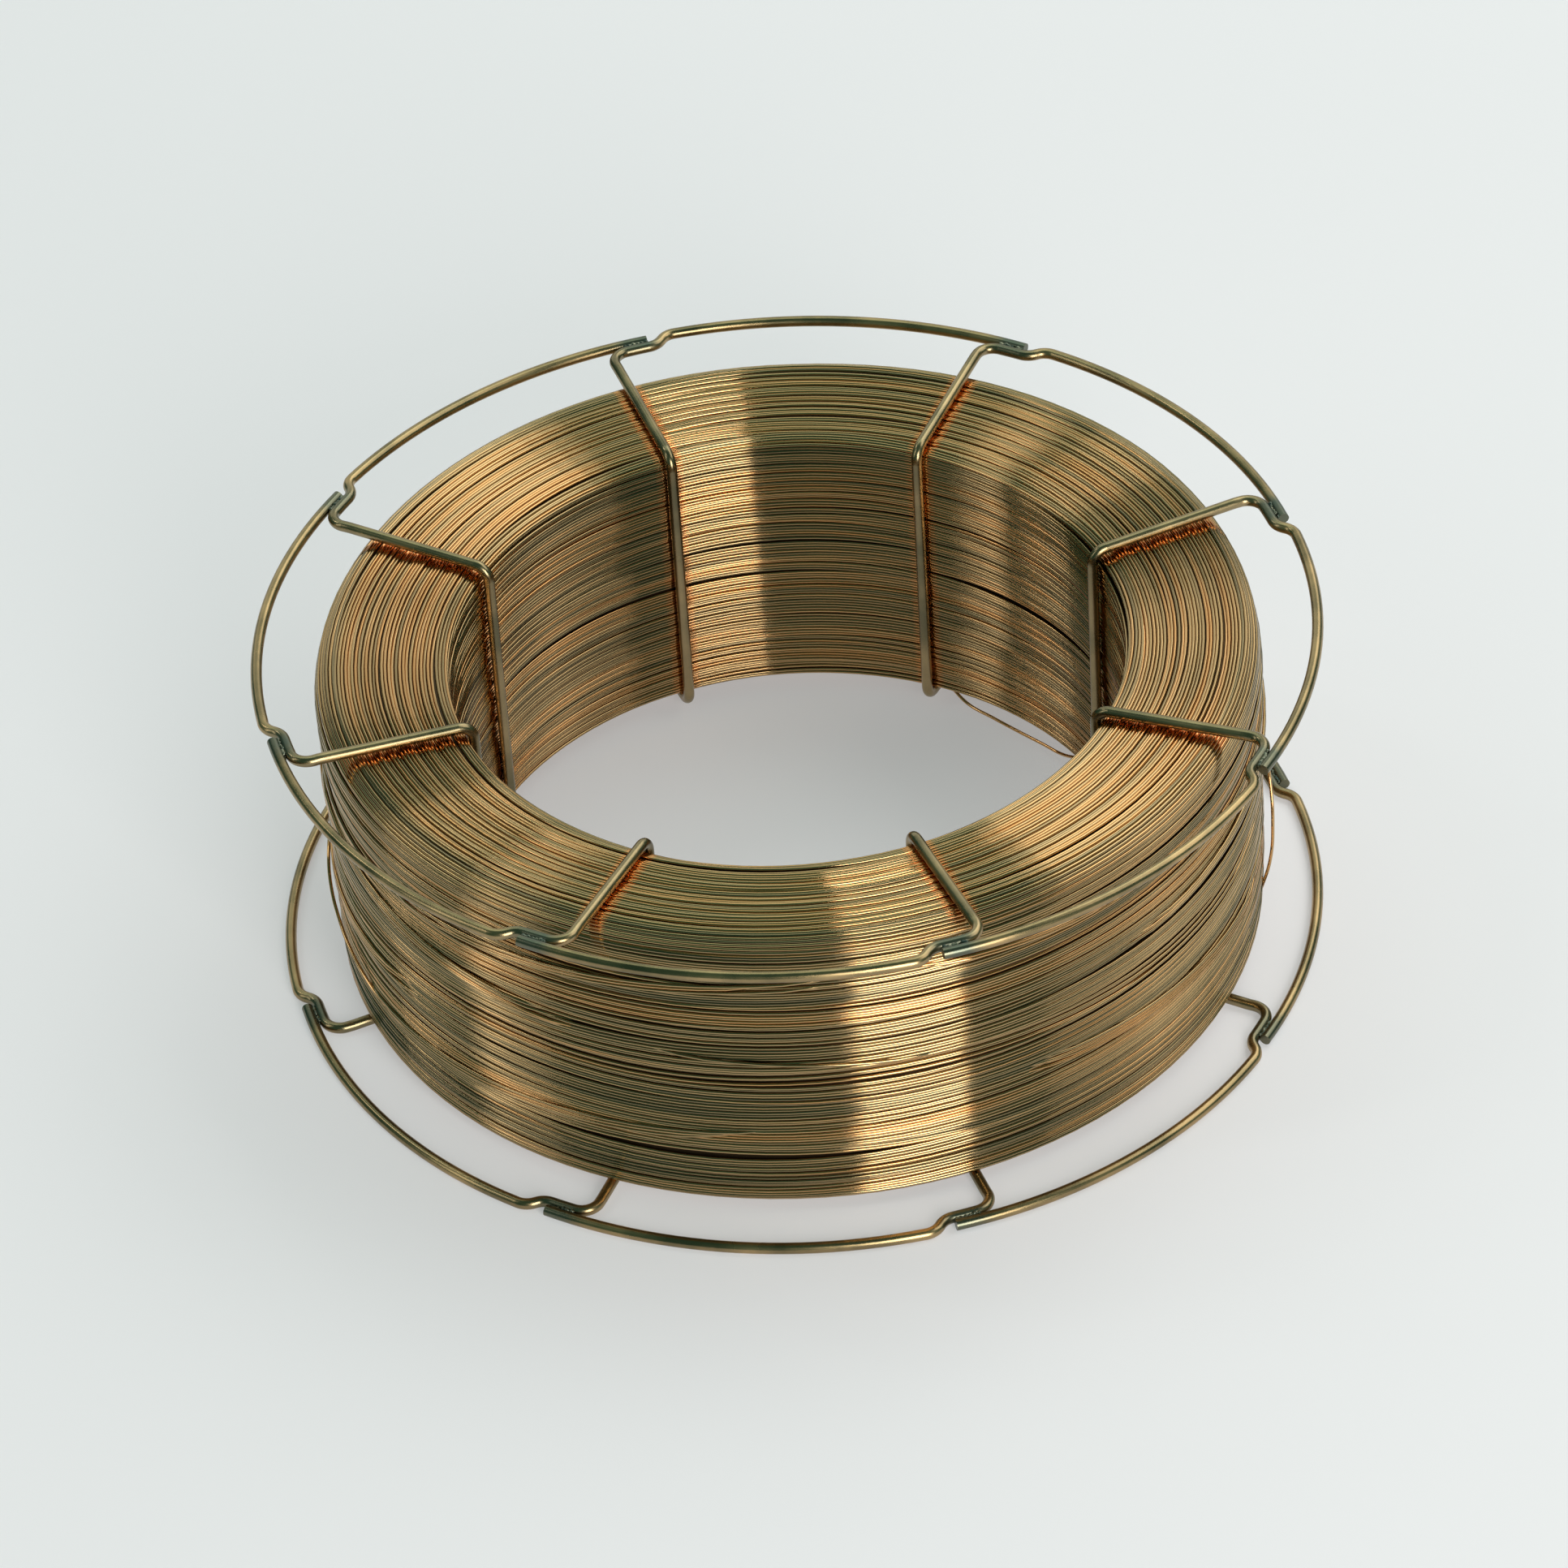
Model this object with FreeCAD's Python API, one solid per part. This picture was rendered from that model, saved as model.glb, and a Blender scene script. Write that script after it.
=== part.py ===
"""Wire-basket spool of welding wire, lying on its rim with the axis upright.

Eight identical formed rods make the basket. Each rod is one length of round
wire bent to a C: a leg along the bore, a radial arm above and below the wire
pack and, at the end of each arm, an eighth of the rim. The rim's free end
laps over the next rod and is resistance welded to it. The pack of welding
wire is wound in layers round the legs, between the arms.

Millimetres, +Z up. The origin is on the floor under the middle of the bore.
Each shape is drawn about the basket's middle height, and raised at the end.
"""
import FreeCAD, Part
import math
import os
from FreeCAD import Vector

# ---- driving dimensions -------------------------------------------------
rod_count = 8             # formed rods in the basket
rod_dia = 3.2             # basket wire
basket_dia = 300.0        # over the rim, where each rod is widest
basket_width = 100.8      # over both rims, along the axis
bore_dia = 183.0          # clear between the legs
first_arm_angle = 18.727  # of rod 1, counter-clockwise from +X

arm_rise = 3.3            # from the leg's corner out to the rim's plane
inner_bend = 4.5          # centre-line radius, leg to arm
crown_bend = 22.0         # centre-line radius, sloping arm to rim plane
crown_inset = 2.0         # from the outer bend in to the crown bend's corner
outer_bend = 5.0          # centre-line radius, arm to weld length
joggle_bend = 5.4         # centre-line radius of both bends of the joggle
rim_tuck = 1.0            # how much nearer the axis each rim's free end lies
lap_length = 12.6         # of a free end past the next rod's arm
weld_gap = 0.03           # between the two rods at a weld

wire_pitch = 1.0          # welding wire, turn to turn
turn_crown = 0.3          # height of each turn's ridge on the pack's ends
pack_dia = 266.0          # over the outermost layer
pack_clearance = 0.1      # from the pack to the legs and arms
upper_shoulder = 6.5      # rounding of the pack's upper outer edge
lower_shoulder = 1.5      # rounding of its lower outer edge

# ---- worked out from them -----------------------------------------------
rod_radius = rod_dia / 2
rim_radius = basket_dia / 2 - rod_radius
free_end_radius = rim_radius - rim_tuck
weld_radius = free_end_radius - rod_dia - weld_gap
rim_height = basket_width / 2 - rod_radius
leg_radius = bore_dia / 2 + rod_radius
leg_corner_height = rim_height - arm_rise
arm_step = 2 * math.pi / rod_count
lap_angle = lap_length / rim_radius

# centre of the outer bend, for an arm that points along +X
outer_bend_angle = -math.asin(outer_bend / (weld_radius - outer_bend))
outer_bend_reach = (weld_radius - outer_bend) * math.cos(outer_bend_angle)
crown_reach = outer_bend_reach - crown_inset
arm_slope = math.atan2(arm_rise, crown_reach - leg_radius)

MIDDLE = Vector(0, 0, 0)
UP = Vector(0, 0, 1)


def polar(radius, angle, height=0.0):
    return Vector(radius * math.cos(angle), radius * math.sin(angle), height)


def line(start, end):
    return Part.LineSegment(start, end).toShape()


def arc(start, end, centre):
    """The shorter arc from start to end about a centre."""
    to_middle = ((start + end) * 0.5 - centre).normalize()
    middle = centre + to_middle * start.distanceToPoint(centre)
    return Part.Arc(start, middle, end).toShape()


def bent_run(points, bends):
    """Straight runs through the points, with a bend at each inner one."""
    edges = []
    start = points[0]
    for before, corner, after, bend in zip(points, points[1:], points[2:], bends):
        back = (before - corner).normalize()
        onward = (after - corner).normalize()
        half_turn = (math.pi - back.getAngle(onward)) / 2
        bend_start = corner + back * bend * math.tan(half_turn)
        bend_end = corner + onward * bend * math.tan(half_turn)
        centre = corner + (back + onward).normalize() * (bend / math.cos(half_turn))
        edges.append(line(start, bend_start))
        edges.append(arc(bend_start, bend_end, centre))
        start = bend_end
    edges.append(line(start, points[-1]))
    return edges


# ---- basket rods --------------------------------------------------------
def rim_edges():
    """From the rim's free end, through the joggle and weld length, to the
    outer end of the arm. The rim is an arc that is widest where it leaves
    the joggle, and tucks in towards its free end."""
    # the joggle spans this angle between circles a rod's width apart
    outside = weld_radius + joggle_bend
    inside = rim_radius - joggle_bend
    joggle_span = math.acos((outside**2 + inside**2 - 4 * joggle_bend**2)
                            / (2 * outside * inside))
    joggle_angle = -lap_angle
    widest_angle = joggle_angle - joggle_span
    free_angle = -arm_step - lap_angle

    sweep = math.cos(widest_angle - free_angle)
    rim_offset = ((rim_radius**2 - free_end_radius**2)
                  / (2 * (rim_radius - free_end_radius * sweep)))
    rim_bend = rim_radius - rim_offset
    rim_centre = polar(rim_offset, widest_angle, rim_height)

    # the joggle's two bends touch each other, the weld circle and the rim
    first_centre = polar(outside, joggle_angle, rim_height)
    apart = rim_centre - first_centre
    reach = apart.Length
    along = (reach**2 + 4 * joggle_bend**2 - (rim_bend - joggle_bend)**2) / (2 * reach)
    across = math.sqrt(4 * joggle_bend**2 - along**2)
    inward = apart.normalize()
    second_centre = first_centre + inward * along + UP.cross(inward) * across
    joggle_middle = (first_centre + second_centre) * 0.5
    outward = (second_centre - rim_centre).normalize()

    free_end = polar(free_end_radius, free_angle, rim_height)
    joggle_end = rim_centre + outward * rim_bend
    joggle_start = polar(weld_radius, joggle_angle, rim_height)
    weld_start = polar(weld_radius, outer_bend_angle, rim_height)
    arm_end = Vector(outer_bend_reach, 0, rim_height)
    bend_centre = Vector(outer_bend_reach, -outer_bend, rim_height)
    return [arc(free_end, joggle_end, rim_centre),
            arc(joggle_end, joggle_middle, second_centre),
            arc(joggle_middle, joggle_start, first_centre),
            arc(joggle_start, weld_start, Vector(0, 0, rim_height)),
            arc(weld_start, arm_end, bend_centre)]


def rod_path():
    """Centre line of a rod whose arms point along +X."""
    upper_rim = rim_edges()
    lower_rim = [edge.mirror(MIDDLE, UP) for edge in reversed(upper_rim)]
    bracket = bent_run([Vector(outer_bend_reach, 0, rim_height),
                        Vector(crown_reach, 0, rim_height),
                        Vector(leg_radius, 0, leg_corner_height),
                        Vector(leg_radius, 0, -leg_corner_height),
                        Vector(crown_reach, 0, -rim_height),
                        Vector(outer_bend_reach, 0, -rim_height)],
                       [crown_bend, inner_bend, inner_bend, crown_bend])
    return Part.Wire(upper_rim + bracket + lower_rim)


def formed_rod():
    path = rod_path()
    first = path.OrderedEdges[0]
    free_end = first.valueAt(first.FirstParameter)
    heading = first.tangentAt(first.FirstParameter)
    section = Part.Wire(Part.makeCircle(rod_radius, free_end, heading))
    return path.makePipeShell([section], True, False)


# ---- wire pack ----------------------------------------------------------
def end_outline(shoulder):
    """Edges of half the pack's section, in the XZ plane, from the bore wall
    over one end to the outer wall. The turns' ridges stand on it."""
    standoff = rod_radius + pack_clearance + turn_crown
    wall = leg_radius + standoff
    rim = pack_dia / 2 - turn_crown
    underside = leg_corner_height - standoff / math.cos(arm_slope)
    wall_top = underside + (wall - leg_radius) * math.tan(arm_slope)
    rim_top = underside + (rim - leg_radius) * math.tan(arm_slope)
    inner_edge = inner_bend - rod_radius - pack_clearance - turn_crown
    return bent_run([Vector(wall, 0, 0), Vector(wall, 0, wall_top),
                     Vector(rim, 0, rim_top), Vector(rim, 0, 0)],
                    [inner_edge, shoulder])


def turns_along(outline):
    """A row of turns, each a low ridge, over one end of the pack's outline."""
    end = Part.Wire(outline[1:-1])
    count = round(end.Length / wire_pitch)
    points = end.discretize(Number=count + 1)
    turns = []
    for start, finish in zip(points, points[1:]):
        run = finish - start
        outward = Vector(-run.z, 0, run.x).normalize()
        crest = (start + finish) * 0.5 + outward * turn_crown
        turns.append(line(start, crest))
        turns.append(line(crest, finish))
    return turns, points[0], points[-1]


def wire_pack():
    upper_turns, upper_wall, upper_rim = turns_along(end_outline(upper_shoulder))
    lower_turns, lower_wall, lower_rim = turns_along(end_outline(lower_shoulder))
    lower_turns = [turn.mirror(MIDDLE, UP) for turn in lower_turns]
    lower_wall = Vector(lower_wall.x, 0, -lower_wall.z)
    lower_rim = Vector(lower_rim.x, 0, -lower_rim.z)
    section = Part.Wire(upper_turns
                        + [line(upper_rim, lower_rim)]
                        + lower_turns[::-1]
                        + [line(lower_wall, upper_wall)])
    return Part.Face(section).revolve(MIDDLE, UP, 360)


# ---- the spool ----------------------------------------------------------
def save(shape, node, turn=0.0):
    placed = shape.copy()
    placed.rotate(MIDDLE, UP, turn)
    placed.translate(UP * (basket_width / 2))
    placed.exportStep(f"parts/{node}.step")


os.makedirs("parts", exist_ok=True)
rod = formed_rod()
for index in range(rod_count):
    save(rod, f"basket_rod_{index + 1}", first_arm_angle + index * 360 / rod_count)
save(wire_pack(), "wire_pack")
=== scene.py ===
"""Looks of a wire-basket spool of welding wire, lying on its rim."""

import math
import random

import bpy
import numpy as np
from mathutils import Matrix, Vector


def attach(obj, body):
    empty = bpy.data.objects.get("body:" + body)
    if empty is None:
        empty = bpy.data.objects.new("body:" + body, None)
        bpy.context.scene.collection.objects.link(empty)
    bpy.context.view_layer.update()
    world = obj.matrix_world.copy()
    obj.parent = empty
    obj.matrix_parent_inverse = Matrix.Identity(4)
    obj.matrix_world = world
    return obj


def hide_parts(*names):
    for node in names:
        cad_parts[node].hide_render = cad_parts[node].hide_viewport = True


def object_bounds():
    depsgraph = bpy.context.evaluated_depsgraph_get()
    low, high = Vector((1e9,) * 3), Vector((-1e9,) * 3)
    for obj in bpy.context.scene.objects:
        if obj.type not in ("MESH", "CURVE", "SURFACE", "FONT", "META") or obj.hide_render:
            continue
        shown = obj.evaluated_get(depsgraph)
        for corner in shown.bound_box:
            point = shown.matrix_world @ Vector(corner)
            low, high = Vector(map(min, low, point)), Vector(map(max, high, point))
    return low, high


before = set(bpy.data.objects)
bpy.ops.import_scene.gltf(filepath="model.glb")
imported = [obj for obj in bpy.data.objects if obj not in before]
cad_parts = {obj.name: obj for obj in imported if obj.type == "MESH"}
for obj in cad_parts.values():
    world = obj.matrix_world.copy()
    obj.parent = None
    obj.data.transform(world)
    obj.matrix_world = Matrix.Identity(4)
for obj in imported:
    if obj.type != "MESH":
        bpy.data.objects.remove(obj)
cad_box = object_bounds()
bpy.ops.object.select_all(action="DESELECT")

# ---- camera -------------------------------------------------------------
# A long lens, well above the spool and almost square on to it, rolled a
# little so that the near rim dips to the right.
low, high = cad_box
middle = (low + high) / 2
camera_elevation = math.radians(39.267)
camera_roll = math.radians(-3.835)
camera_distance = 1.844
camera_data = bpy.data.cameras.new("camera")
camera_data.sensor_width = 36
camera_data.lens = 148.9
camera = bpy.data.objects.new("camera", camera_data)
bpy.context.scene.collection.objects.link(camera)
bpy.context.scene.camera = camera
camera_turn = (Matrix.Rotation(math.pi / 2 - camera_elevation, 4, "X")
               @ Matrix.Rotation(camera_roll, 4, "Z"))
aim = middle + Vector((-0.0034, -0.0035, -0.0043))
camera.matrix_world = (Matrix.Translation(aim) @ camera_turn
                       @ Matrix.Translation((0, 0, camera_distance)))

# ---- floor --------------------------------------------------------------
# A plain pale matt board, larger than any view of the spool. To the eye and
# in the metal it is a little nearer white than the light alone makes it.
board_size = 14
whitening = 0.32
bpy.ops.mesh.primitive_plane_add(size=board_size, location=(0, 0, low.z))
floor = bpy.context.object
floor.name = "floor"
board = bpy.data.materials.new("pale_board")
board.use_nodes = True
nodes = board.node_tree.nodes
links = board.node_tree.links
shader = nodes["Principled BSDF"]
shader.inputs["Roughness"].default_value = 0.9
shader.inputs["Specular IOR Level"].default_value = 0.1
grain = nodes.new("ShaderNodeTexNoise")
grain.inputs["Scale"].default_value = 30
ramp = nodes.new("ShaderNodeValToRGB")
ramp.color_ramp.elements[0].color = (0.86, 0.84, 0.90, 1)
ramp.color_ramp.elements[1].color = (0.90, 0.88, 0.94, 1)
links.new(grain.outputs["Fac"], ramp.inputs["Fac"])
links.new(ramp.outputs["Color"], shader.inputs["Base Color"])
glow = nodes.new("ShaderNodeEmission")
glow.inputs["Strength"].default_value = 1.0
seen = nodes.new("ShaderNodeLightPath")
seen_or_mirrored = nodes.new("ShaderNodeMath")
seen_or_mirrored.operation = "MAXIMUM"
links.new(seen.outputs["Is Camera Ray"], seen_or_mirrored.inputs[0])
links.new(seen.outputs["Is Glossy Ray"], seen_or_mirrored.inputs[1])
seen_at_all = nodes.new("ShaderNodeMath")
seen_at_all.operation = "MAXIMUM"
links.new(seen_or_mirrored.outputs["Value"], seen_at_all.inputs[0])
links.new(seen.outputs["Is Transmission Ray"], seen_at_all.inputs[1])
share = nodes.new("ShaderNodeMath")
share.operation = "MULTIPLY"
share.inputs[1].default_value = whitening
links.new(seen_at_all.outputs["Value"], share.inputs[0])
whitened = nodes.new("ShaderNodeMixShader")
links.new(share.outputs["Value"], whitened.inputs["Fac"])
links.new(shader.outputs["BSDF"], whitened.inputs[1])
links.new(glow.outputs["Emission"], whitened.inputs[2])
links.new(whitened.outputs["Shader"], nodes["Material Output"].inputs["Surface"])
floor.data.materials.append(board)

# ---- studio light -------------------------------------------------------
# Soft boxes round the spool: a wide one behind it, a tall one at the front
# right, a wide one at the right, two narrow ones at the left, one overhead,
# and a dim even fill.


def soft_box(name, azimuth, elevation, distance, width, height, radiance,
             colour=(1.0, 0.96, 0.90)):
    """A lit box that faces the spool. Azimuth is in degrees from straight
    behind the camera, positive to the right; elevation is in degrees."""
    light = bpy.data.lights.new(name, "AREA")
    light.shape = "RECTANGLE"
    light.size = width
    light.size_y = height
    light.energy = radiance * math.pi * width * height
    light.color = colour
    lamp = bpy.data.objects.new(name, light)
    bpy.context.scene.collection.objects.link(lamp)
    a, e = math.radians(azimuth), math.radians(elevation)
    away = Vector((math.sin(a) * math.cos(e), -math.cos(a) * math.cos(e), math.sin(e)))
    lamp.location = middle + away * distance
    lamp.rotation_euler = away.to_track_quat("Z", "Y").to_euler()


soft_box("back_box", 180, 24, 1.9, 2.8, 1.1, 0.82)
soft_box("key_box", 20, 20, 1.7, 0.66, 1.0, 9.4)
soft_box("right_box", 118, 48, 1.8, 2.2, 1.1, 1.9)
soft_box("left_box", -75, 32, 1.7, 0.20, 1.1, 3.3)
soft_box("dim_box", -116, 46, 1.8, 0.24, 0.50, 4.8)
soft_box("top_box", 180, 62, 1.9, 1.7, 1.0, 1.15, colour=(0.86, 1.0, 0.90))
world = bpy.data.worlds.new("fill")
world.use_nodes = True
fill = world.node_tree.nodes["Background"]
fill.inputs["Color"].default_value = (0.36, 0.98, 0.80, 1)
fill.inputs["Strength"].default_value = 0.14
bpy.context.scene.world = world
bpy.context.scene.view_settings.view_transform = "Standard"

# ---- basket rods --------------------------------------------------------
# Eight lengths of drawn steel wire, copper washed, bent cold and resistance
# welded at their laps. The arms and legs are greener than the rims, and each
# weld has tinted the wire beside it grey-green.
rod_count = 8
rod_spacing = 2 * math.pi / rod_count
whole_turns = rod_spacing * 2 * rod_count
first_arm = math.radians(18.727)
lap_middle = first_arm - math.radians(3.5)
rim_inside = (0.1435, 0.1415)
tint_fades = (math.radians(1.2), math.radians(3.4))
rods = [node for name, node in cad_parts.items() if name.startswith("basket_rod")]
rod_metal = bpy.data.materials.new("bronzed_rod")
rod_metal.use_nodes = True
nodes = rod_metal.node_tree.nodes
links = rod_metal.node_tree.links
shader = nodes["Principled BSDF"]
shader.inputs["Metallic"].default_value = 1
place = nodes.new("ShaderNodeTexCoord")
patches = nodes.new("ShaderNodeTexNoise")
patches.inputs["Scale"].default_value = 60
patches.inputs["Detail"].default_value = 5
links.new(place.outputs["Object"], patches.inputs["Vector"])


def rod_tone(darker_tone, fresh):
    """A colour ramp of the rod material, driven by its patches."""
    ramp = nodes.new("ShaderNodeValToRGB")
    ramp.color_ramp.elements[0].position = 0.35
    ramp.color_ramp.elements[0].color = darker_tone
    ramp.color_ramp.elements[1].position = 0.7
    ramp.color_ramp.elements[1].color = fresh
    links.new(patches.outputs["Fac"], ramp.inputs["Fac"])
    return ramp.outputs["Color"]


def blended(share, first, second):
    """Goes from the first colour to the second as the share goes from 0 to 1."""
    node = nodes.new("ShaderNodeMix")
    node.data_type = "RGBA"
    links.new(share, node.inputs[0])
    for socket, value in ((node.inputs[6], first), (node.inputs[7], second)):
        if isinstance(value, bpy.types.NodeSocket):
            links.new(value, socket)
        else:
            socket.default_value = value
    return node.outputs[2]


def calc(operation, first, second=None, third=None):
    """A math node of the current material, fed by sockets or plain numbers."""
    node = nodes.new("ShaderNodeMath")
    node.operation = operation
    for socket, value in zip(node.inputs, (first, second, third)):
        if isinstance(value, bpy.types.NodeSocket):
            links.new(value, socket)
        elif value is not None:
            socket.default_value = value
    return node.outputs["Value"]


def fade(value, start, end):
    """1 up to start, falling to 0 at end (start may be above end)."""
    node = nodes.new("ShaderNodeMapRange")
    node.inputs["From Min"].default_value = start
    node.inputs["From Max"].default_value = end
    node.inputs["To Min"].default_value = 1
    node.inputs["To Max"].default_value = 0
    links.new(value, node.inputs["Value"])
    return node.outputs["Result"]


axes = nodes.new("ShaderNodeSeparateXYZ")
links.new(place.outputs["Object"], axes.inputs["Vector"])
east, north = axes.outputs["X"], axes.outputs["Y"]
reach_squared = calc("ADD", calc("MULTIPLY", east, east), calc("MULTIPLY", north, north))
on_rim = fade(calc("SQRT", reach_squared), *rim_inside)
turned = calc("ADD", calc("ARCTAN2", north, east),
              whole_turns + rod_spacing / 2 - lap_middle)
from_lap = calc("ABSOLUTE", calc("SUBTRACT", calc("MODULO", turned, rod_spacing),
                                 rod_spacing / 2))
near_lap = fade(from_lap, *tint_fades)
blotch = calc("MULTIPLY", patches.outputs["Fac"], 1.5)
heat = calc("MINIMUM", calc("MULTIPLY", calc("MULTIPLY", on_rim, near_lap), blotch), 1.0)
arm_tone = rod_tone((0.18, 0.155, 0.090, 1), (0.42, 0.310, 0.165, 1))
rim_tone = rod_tone((0.21, 0.165, 0.088, 1), (0.47, 0.330, 0.165, 1))
colour = blended(on_rim, arm_tone, rim_tone)
links.new(blended(heat, colour, (0.10, 0.125, 0.10, 1)), shader.inputs["Base Color"])
shine = nodes.new("ShaderNodeMapRange")
shine.inputs["To Min"].default_value = 0.18
shine.inputs["To Max"].default_value = 0.36
links.new(patches.outputs["Fac"], shine.inputs["Value"])
links.new(shine.outputs["Result"], shader.inputs["Roughness"])
for rod in rods:
    rod.data.materials.clear()
    rod.data.materials.append(rod_metal)

# ---- weld flash ---------------------------------------------------------
# Steel squeezed out of the sixteen lap welds: lumpy beads that fill the
# grooves above and below each seam, left as welded and tinted by the heat.
flash_rng = random.Random(7)
lumps_a_side = 6
seam_reach = 0.1458
rim_planes = (0.0016, 0.0992)
flash_mesh = bpy.data.meshes.new("weld_flash")
flash = bpy.data.objects.new("weld_flash", flash_mesh)
bpy.context.scene.collection.objects.link(flash)
bpy.context.view_layer.objects.active = flash
flash.select_set(True)
bpy.ops.object.mode_set(mode="EDIT")
for rod_index in range(rod_count):
    for plane in rim_planes:
        for side in (-1, 1):
            for lump in range(lumps_a_side):
                angle = (first_arm + rod_index * rod_spacing
                         - math.radians(2.1 + 0.5 * lump + flash_rng.uniform(-0.1, 0.1)))
                reach = seam_reach + flash_rng.uniform(-0.0003, 0.0003)
                bpy.ops.mesh.primitive_ico_sphere_add(
                    subdivisions=2, radius=flash_rng.uniform(0.00055, 0.00082),
                    location=(reach * math.cos(angle), reach * math.sin(angle),
                              plane + side * flash_rng.uniform(0.0006, 0.00078)))
bpy.ops.object.mode_set(mode="OBJECT")
blend = flash.modifiers.new("blend", "REMESH")
blend.mode = "VOXEL"
blend.voxel_size = 0.00024
blend.use_smooth_shade = True
bpy.ops.object.modifier_apply(modifier=blend.name)
soften = flash.modifiers.new("soften", "SMOOTH")
soften.factor = 0.5
soften.iterations = 3
bpy.ops.object.modifier_apply(modifier=soften.name)
flash.select_set(False)
flash_metal = bpy.data.materials.new("heat_tinted_steel")
flash_metal.use_nodes = True
nodes = flash_metal.node_tree.nodes
links = flash_metal.node_tree.links
shader = nodes["Principled BSDF"]
shader.inputs["Metallic"].default_value = 1
shader.inputs["Roughness"].default_value = 0.34
place = nodes.new("ShaderNodeTexCoord")
tint = nodes.new("ShaderNodeTexNoise")
tint.inputs["Scale"].default_value = 400
links.new(place.outputs["Object"], tint.inputs["Vector"])
tone = nodes.new("ShaderNodeValToRGB")
tone.color_ramp.elements[0].position = 0.35
tone.color_ramp.elements[0].color = (0.055, 0.08, 0.07, 1)
tone.color_ramp.elements[1].position = 0.7
tone.color_ramp.elements[1].color = (0.25, 0.25, 0.18, 1)
links.new(tint.outputs["Fac"], tone.inputs["Fac"])
links.new(tone.outputs["Color"], shader.inputs["Base Color"])
flash.data.materials.append(flash_metal)
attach(flash, "root")

# ---- wire pack ----------------------------------------------------------
# One long copper-coated wire, wound in layers round the legs. Its outermost
# turns show on four sides: both ends, the outside and the bore. They follow
# the pack's section, and each turn strays a little, as laid wire does.
wire_radius = 0.00049
pitch = 0.001
turn_points = 112
leg_reach = 0.0931
standoff = 0.0017 + wire_radius
bore_reach = leg_reach + standoff
outer_reach = 0.133 - wire_radius
rim_lift = 0.0033 / (0.1366 - 0.0931)
end_height = 0.0488 - 0.0033 - standoff * math.hypot(1, rim_lift)


def end_height_at(reach):
    """Height of a wire's centre on the pack's ends, from mid-height."""
    return end_height + (reach - leg_reach) * rim_lift


def section_path(top):
    """Points a pitch apart over one end: bore edge, face and shoulder."""
    inner_round = 0.0024
    outer_round = 0.0060 if top else 0.0012
    points = []
    steps = 400
    corner_in = Vector((bore_reach + inner_round, end_height_at(bore_reach) - inner_round))
    for k in range(steps):
        a = math.pi - k / steps * (math.pi / 2 - math.atan(rim_lift))
        points.append(corner_in + Vector((math.cos(a), math.sin(a))) * inner_round)
    face_end = outer_reach - outer_round
    for k in range(steps):
        reach = points[steps - 1].x + (face_end - points[steps - 1].x) * k / steps
        points.append(Vector((reach, end_height_at(reach))))
    corner_out = Vector((face_end, end_height_at(face_end) - outer_round))
    for k in range(steps + 1):
        a = math.pi / 2 - k / steps * math.pi / 2
        points.append(corner_out + Vector((math.cos(a), math.sin(a))) * outer_round)
    return points


def evenly(points, spacing):
    """The points of a path at an even spacing along it."""
    kept = [points[0]]
    run = 0.0
    for a, b in zip(points, points[1:]):
        run += (b - a).length
        while run >= spacing * len(kept):
            kept.append(b.copy())
    return kept


class Drift:
    """A smooth random swing round the spool: a few slow waves."""

    def __init__(self, rng, size, waves):
        self.waves = [(rng.uniform(0.4, 1.0) * size / math.sqrt(len(waves)), n,
                       rng.uniform(0, 2 * math.pi)) for n in waves]

    def at(self, angle):
        return sum(a * math.sin(n * angle + p) for a, n, p in self.waves)


def wound(name, places, seed, shift, stray, lift, step, spread, darker_tone=0.0):
    """Closed turns of wire, one at each place (reach, height, normal angle).
    They lie in bands of a few turns. shift: how far a band slides along the
    section; stray: how far each turn slides by itself; lift: how far a turn
    stands off; step: how deep a band may lie; spread: how few turns lie low
    (1 is most). The last argument darkens the turns' colour as painted shade,
    used on the outer wall."""
    rng = random.Random(seed)
    curve = bpy.data.curves.new(name, "CURVE")
    curve.dimensions = "3D"
    curve.bevel_depth = wire_radius
    curve.bevel_resolution = 2
    tones = []
    band_left = 0
    for reach, height, normal, gain in places:
        if band_left == 0:
            band_left = rng.randint(3, 9)
            band = Drift(rng, shift * (0.4 + 1.2 * rng.random() ** 2), (1, 2, 3, 5))
            band_rise = Drift(rng, lift, (1, 2, 3))
            band_depth = rng.random() ** 2 * step
            band_tone = rng.random()
        band_left -= 1
        own = Drift(rng, stray, (2, 3, 4, 6))
        rise = Drift(rng, lift * 0.8, (2, 3, 5))
        shade = Drift(rng, 0.16, (1, 2, 3))
        depth = band_depth + rng.random() ** spread * step * 2.2
        # the last argument lowers the tone: painted shade, used on the outer wall
        own_tone = 0.35 * band_tone + 0.65 * rng.random() - darker_tone
        spline = curve.splines.new("POLY")
        spline.points.add(turn_points - 1)
        spline.use_cyclic_u = True
        row = []
        for k in range(turn_points):
            angle = 2 * math.pi * k / turn_points
            slide = band.at(angle) + own.at(angle)
            off = min(band_rise.at(angle) + rise.at(angle) - depth, 0.0001)
            r = reach + off * math.cos(normal) - slide * math.sin(normal)
            z = (height + off * math.sin(normal) + slide * math.cos(normal)
                 + gain * fullness(angle))
            row.extend((r * math.cos(angle), r * math.sin(angle), z + middle.z, 1))
            tones.append(min(max(own_tone + shade.at(angle), 0.0), 1.0))
        spline.points.foreach_set("co", row)
    return meshed(name, curve, tones)


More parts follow.
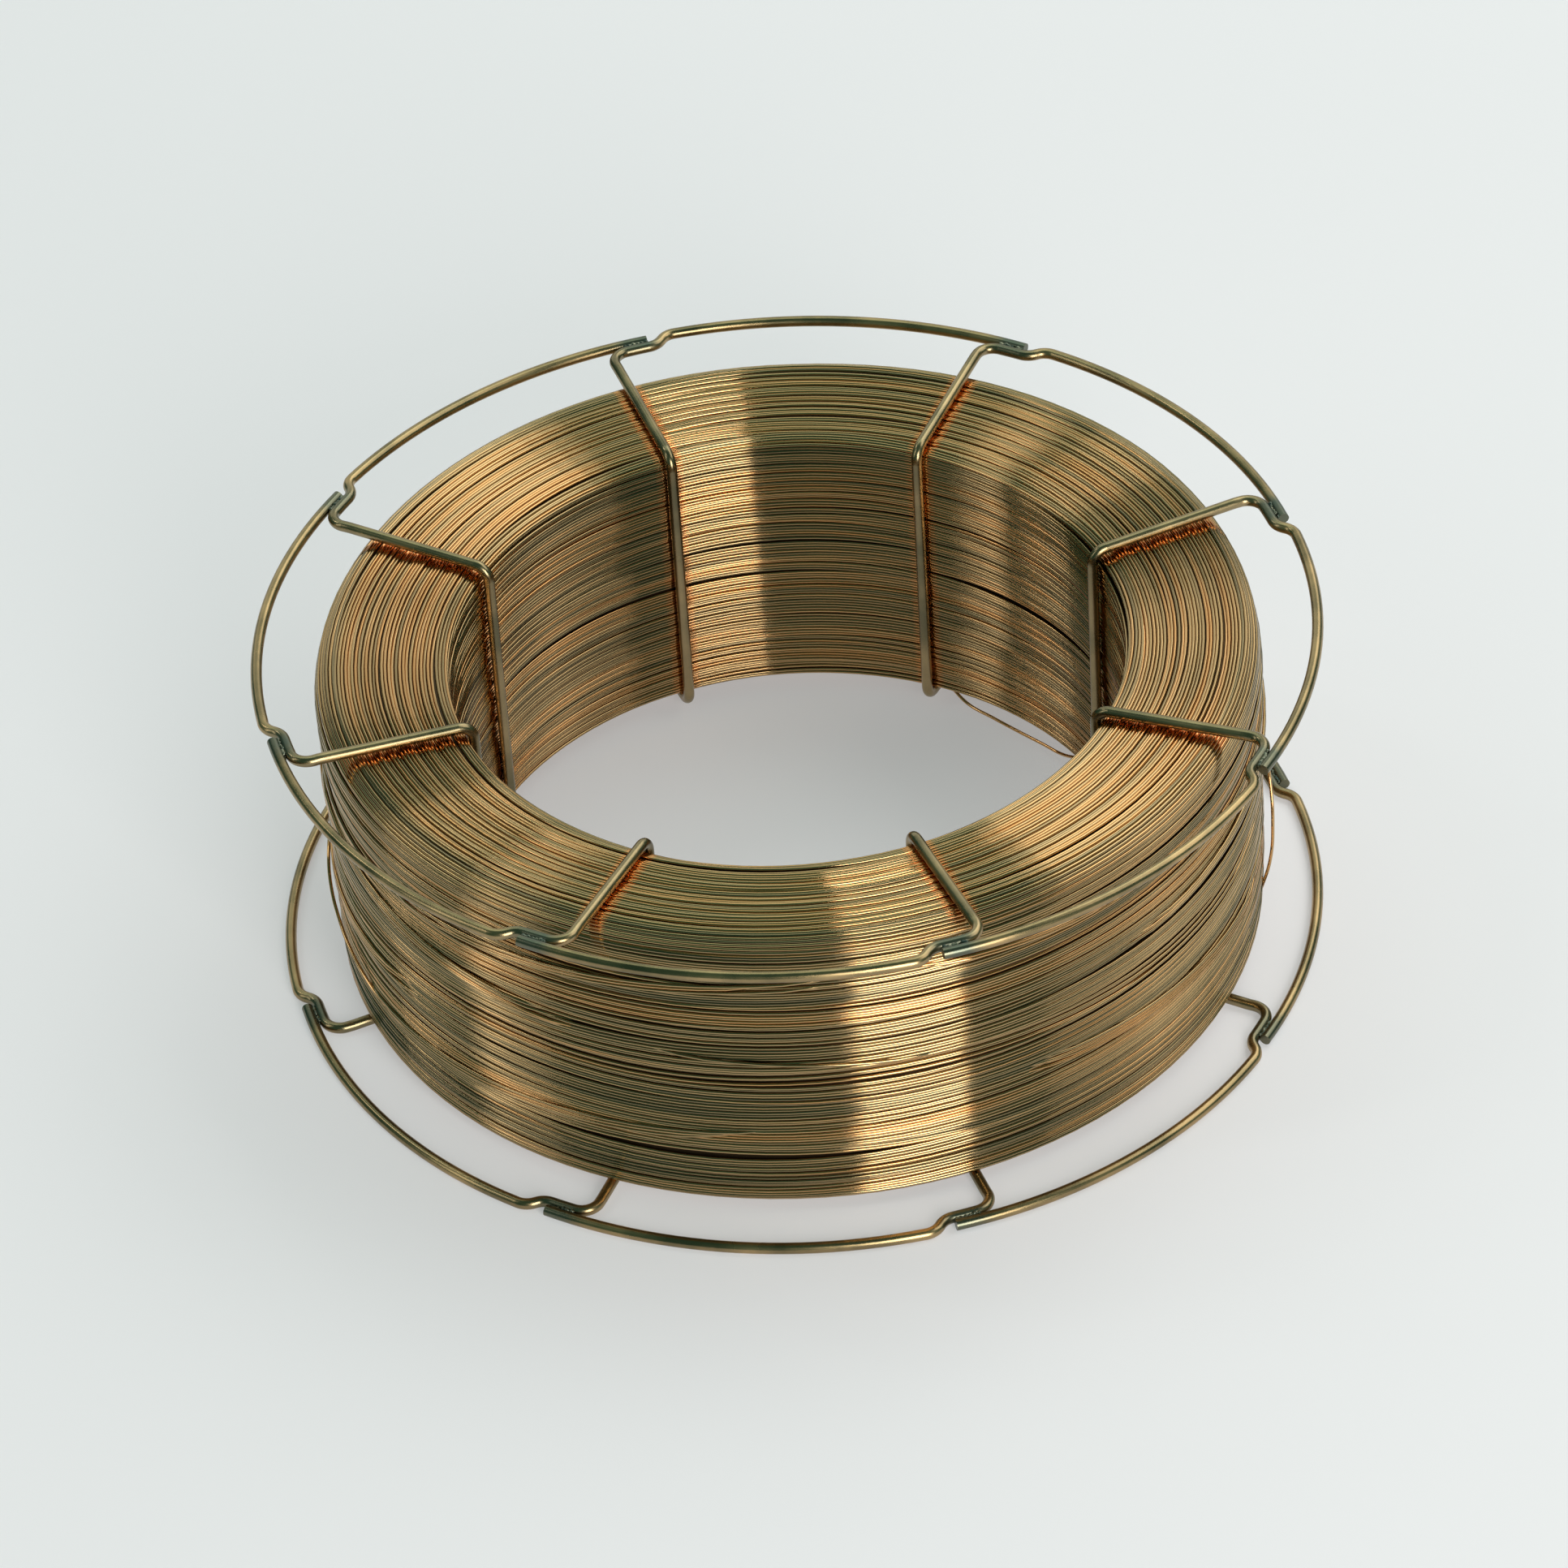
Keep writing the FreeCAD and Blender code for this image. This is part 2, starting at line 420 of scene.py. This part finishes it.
def meshed(name, curve, tones):
    """The curve as a mesh, with a tone for each of its points."""
    turns = bpy.data.objects.new(name, curve)
    bpy.context.scene.collection.objects.link(turns)
    bpy.context.view_layer.objects.active = turns
    turns.select_set(True)
    bpy.ops.object.convert(target="MESH")
    turns = bpy.context.object
    turns.select_set(False)
    turns.data.materials.clear()
    bpy.context.view_layer.update()
    mesh = turns.data
    per_point = len(mesh.vertices) // len(tones)
    attribute = mesh.attributes.new("turn_tone", "FLOAT", "POINT")
    attribute.data.foreach_set("value", np.repeat(np.array(tones, np.float32), per_point))
    mesh.polygons.foreach_set("use_smooth", [True] * len(mesh.polygons))
    return turns


def fullness(angle):
    """The pack is fuller at the back, where its upper shoulder is smaller."""
    part = min(max(math.sin(angle) / 0.85, 0.0), 1.0)
    return part * part * (3 - 2 * part)


def end_places(top):
    side = 1 if top else -1
    points = evenly(section_path(top), pitch)
    places = []
    for index, point in enumerate(points):
        before = points[max(index - 1, 0)]
        after = points[min(index + 1, len(points) - 1)]
        run = after - before
        normal = math.atan2(run.x, -run.y)
        gain = 0.6 * (end_height_at(point.x) - point.y) if top and point.x > 0.12 else 0.0
        places.append((point.x, side * point.y, side * normal, gain))
    return places


upper_places = end_places(True)
lower_places = end_places(False)


def wall_places(reach, low_height, high_height, normal, gain):
    count = round((high_height - low_height) / pitch)
    step = (high_height - low_height) / count
    places = []
    for k in range(1, count):
        high_part = max(1 - (count - k) * step / 0.028, 0.0)
        places.append((reach, low_height + step * k, normal, gain * high_part ** 1.5))
    return places


outer_places = wall_places(outer_reach, lower_places[-1][1], upper_places[-1][1], 0.0,
                           upper_places[-1][3])
bore_places = wall_places(bore_reach, lower_places[0][1], upper_places[0][1], math.pi, 0.0)

# the outer turns are coloured darker: painted shade on the outer wall
turns = [wound("upper_end_turns", upper_places, 11, 0.0006, 0.00010, 0.00026, 0.00022, 1.3),
         wound("lower_end_turns", lower_places, 12, 0.0006, 0.00010, 0.00026, 0.00022, 1.3),
         wound("outer_turns", outer_places, 13, 0.0010, 0.00012, 0.00022, 0.00034,
               5, darker_tone=0.16),
         wound("bore_turns", bore_places, 14, 0.0005, 0.00010, 0.00026, 0.00015, 4)]

# groups of turns laid across the others on the outside: middle of the arc in
# degrees, half its length, height, how far and how often it swings, turns
crossings = ((-92, 30, 0.004, -0.0045, 2, 1), (-118, 34, 0.027, 0.0050, 2, 3),
             (-150, 40, 0.012, -0.0055, 2, 4), (-176, 36, -0.016, 0.0050, 2, 4),
             (-128, 38, -0.026, 0.0040, 2, 3), (-40, 34, -0.020, -0.0050, 2, 4),
             (-18, 36, 0.014, 0.0045, 2, 3), (-64, 26, 0.031, -0.0030, 2, 2),
             (60, 44, 0.020, 0.0050, 2, 4), (110, 44, -0.014, -0.0050, 2, 4))
cross_rng = random.Random(17)
curve = bpy.data.curves.new("crossing_turns", "CURVE")
curve.dimensions = "3D"
curve.bevel_depth = wire_radius
curve.bevel_resolution = 2
tones = []
for arc_middle, half_arc, height, swing, waves, count in crossings:
    group_tone = cross_rng.uniform(0.3, 0.8)
    for turn in range(count):
        own = Drift(cross_rng, 0.00012, (2, 3, 5))
        own_tone = group_tone + cross_rng.uniform(-0.3, 0.3)
        reach_of_arc = math.radians(half_arc + cross_rng.uniform(-5, 5))
        spline = curve.splines.new("POLY")
        spline.points.add(turn_points - 1)
        spline.use_cyclic_u = True
        row = []
        for k in range(turn_points):
            angle = 2 * math.pi * k / turn_points
            along = (angle - math.radians(arc_middle) + math.pi) % (2 * math.pi) - math.pi
            up = min(max((reach_of_arc - abs(along)) / math.radians(15), 0.0), 1.0)
            up = up * up * (3 - 2 * up)
            r = outer_reach - 0.0022 + 0.0030 * up
            z = height + pitch * 1.02 * turn + swing * math.sin(waves * along) + own.at(angle)
            row.extend((r * math.cos(angle), r * math.sin(angle), z + middle.z, 1))
            tones.append(min(max(own_tone, 0.0), 1.0))
        spline.points.foreach_set("co", row)
turns.append(meshed("crossing_turns", curve, tones))

# three slack lengths that have sprung clear: right, bore edge and left
slack_runs = (
    ((0.1320, 0.0, 0.006), (0.1330, -0.008, 0.002), (0.1342, -0.0132, -0.008),
     (0.1344, -0.0177, -0.019), (0.1334, -0.0203, -0.030), (0.1303, -0.0222, -0.040),
     (0.1285, -0.0238, -0.0440)),
    ((0.0485, 0.0840, -0.0430), (0.0529, 0.0789, -0.0455), (0.0600, 0.0723, -0.0463),
     (0.0668, 0.0656, -0.0465), (0.0735, 0.0586, -0.0462), (0.0796, 0.0517, -0.0455),
     (0.0846, 0.0465, -0.0430)),
    ((-0.1322, 0.0020, -0.006), (-0.1336, -0.0140, -0.010), (-0.1332, -0.0234, -0.014),
     (-0.1313, -0.0327, -0.018), (-0.1283, -0.0416, -0.0225), (-0.1232, -0.0520, -0.027),
     (-0.1168, -0.0610, -0.031)))
slack = bpy.data.curves.new("slack_wire", "CURVE")
slack.dimensions = "3D"
slack.bevel_depth = wire_radius
slack.bevel_resolution = 3
slack.resolution_u = 10
slack.use_fill_caps = True
for run in slack_runs:
    spline = slack.splines.new("BEZIER")
    spline.bezier_points.add(len(run) - 1)
    for point, (x, y, z) in zip(spline.bezier_points, run):
        point.co = (x, y, z + middle.z)
        point.handle_left_type = point.handle_right_type = "AUTO"
turns.append(meshed("slack_wire", slack, [0.8]))

wire_metal = bpy.data.materials.new("coppered_wire")
wire_metal.use_nodes = True
nodes = wire_metal.node_tree.nodes
links = wire_metal.node_tree.links
shader = nodes["Principled BSDF"]
shader.inputs["Metallic"].default_value = 1
shader.inputs["Roughness"].default_value = 0.10
per_turn = nodes.new("ShaderNodeAttribute")
per_turn.attribute_name = "turn_tone"
place = nodes.new("ShaderNodeTexCoord")
streaks = nodes.new("ShaderNodeTexNoise")
streaks.inputs["Scale"].default_value = 14
streaks.inputs["Detail"].default_value = 3
links.new(place.outputs["Object"], streaks.inputs["Vector"])
mixed = nodes.new("ShaderNodeMath")
mixed.operation = "MULTIPLY_ADD"
mixed.inputs[1].default_value = 0.75
links.new(per_turn.outputs["Fac"], mixed.inputs[0])
half = nodes.new("ShaderNodeMath")
half.operation = "MULTIPLY"
half.inputs[1].default_value = 0.3
links.new(streaks.outputs["Fac"], half.inputs[0])
links.new(half.outputs["Value"], mixed.inputs[2])
tone = nodes.new("ShaderNodeValToRGB")
tone.color_ramp.elements[0].position = 0.1
tone.color_ramp.elements[0].color = (0.18, 0.150, 0.085, 1)
tone.color_ramp.elements[1].position = 0.95
tone.color_ramp.elements[1].color = (0.63, 0.378, 0.172, 1)
# the turns near 0.66 have kept more of their copper
for position, color in ((0.45, (0.42, 0.288, 0.142, 1)),
                        (0.58, (0.49, 0.325, 0.155, 1)),
                        (0.66, (0.55, 0.298, 0.118, 1)),
                        (0.75, (0.56, 0.345, 0.160, 1))):
    tone.color_ramp.elements.new(position).color = color
links.new(mixed.outputs["Value"], tone.inputs["Fac"])
# beside the arms and legs the turns carry a painted reflection of the lit rods: bright copper
# colour, weaker in the bore, varying with each turn's tone
axes = nodes.new("ShaderNodeSeparateXYZ")
links.new(place.outputs["Object"], axes.inputs["Vector"])
east, north = axes.outputs["X"], axes.outputs["Y"]
reach_of_point = calc("SQRT", calc("ADD", calc("MULTIPLY", east, east),
                                   calc("MULTIPLY", north, north)))
turned = calc("ADD", calc("ARCTAN2", north, east),
              whole_turns + rod_spacing / 2 - first_arm)
from_arm = calc("MULTIPLY", reach_of_point,
                calc("ABSOLUTE", calc("SUBTRACT", calc("MODULO", turned, rod_spacing),
                                      rod_spacing / 2)))
# painted reflection: where the turns would mirror the lit rods, their colour turns bright
# copper
painted_rod_reflection = calc("MULTIPLY", fade(from_arm, 0.0034, 0.0047), fade(reach_of_point, 0.1300, 0.1315))
painted_rod_reflection = calc("MULTIPLY", painted_rod_reflection, calc("SUBTRACT", 1.0, calc(
    "MULTIPLY", fade(reach_of_point, 0.0958, 0.0966), 0.55)))
painted_rod_reflection = calc("MULTIPLY", painted_rod_reflection, calc("MULTIPLY_ADD", per_turn.outputs["Fac"], 0.5, 0.5))
painted_reflection_copper = (0.88, 0.36, 0.13, 1)
links.new(blended(painted_rod_reflection, tone.outputs["Color"], painted_reflection_copper), shader.inputs["Base Color"])

# the layers underneath, seen only between the turns that show, coloured dark brown as painted
# shade in the gaps between turns
inset = 0.0009
outline = []
for points, side in ((upper_places, 1), (lower_places[::-1], -1)):
    for reach, height, normal, gain in points:
        outline.append((reach - inset * math.cos(normal), height - inset * math.sin(normal),
                        gain))
core_mesh = bpy.data.meshes.new("inner_layers")
core_steps = 144
verts = []
for k in range(core_steps):
    angle = 2 * math.pi * k / core_steps
    for reach, height, gain in outline:
        verts.append((reach * math.cos(angle), reach * math.sin(angle),
                      height + gain * fullness(angle) + middle.z))
faces = []
ring = len(outline)
for k in range(core_steps):
    for j in range(ring):
        a = k * ring + j
        b = k * ring + (j + 1) % ring
        c = (k + 1) % core_steps * ring + (j + 1) % ring
        d = (k + 1) % core_steps * ring + j
        faces.append((a, b, c, d))
core_mesh.from_pydata(verts, [], faces)
core = bpy.data.objects.new("inner_layers", core_mesh)
bpy.context.scene.collection.objects.link(core)
core_mesh.polygons.foreach_set("use_smooth", [True] * len(faces))
bpy.context.view_layer.objects.active = core
core.select_set(True)
bpy.ops.object.mode_set(mode="EDIT")
bpy.ops.mesh.select_all(action="SELECT")
bpy.ops.mesh.normals_make_consistent(inside=False)
bpy.ops.object.mode_set(mode="OBJECT")
core.select_set(False)
# painted shade: dark brown stands in for the shade between the turns
gap_shade_metal = bpy.data.materials.new("shaded_wire")
gap_shade_metal.use_nodes = True
nodes = gap_shade_metal.node_tree.nodes
links = gap_shade_metal.node_tree.links
shader = nodes["Principled BSDF"]
shader.inputs["Metallic"].default_value = 1
shader.inputs["Roughness"].default_value = 0.5
place = nodes.new("ShaderNodeTexCoord")
deep = nodes.new("ShaderNodeTexNoise")
deep.inputs["Scale"].default_value = 90
links.new(place.outputs["Object"], deep.inputs["Vector"])
tone = nodes.new("ShaderNodeValToRGB")
tone.color_ramp.elements[0].color = (0.05, 0.035, 0.02, 1)
tone.color_ramp.elements[1].color = (0.14, 0.09, 0.05, 1)
links.new(deep.outputs["Fac"], tone.inputs["Fac"])
links.new(tone.outputs["Color"], shader.inputs["Base Color"])
core.data.materials.append(gap_shade_metal)

for piece in turns:
    piece.data.materials.append(wire_metal)
for piece in turns + [core]:
    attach(piece, "root")
    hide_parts("wire_pack")
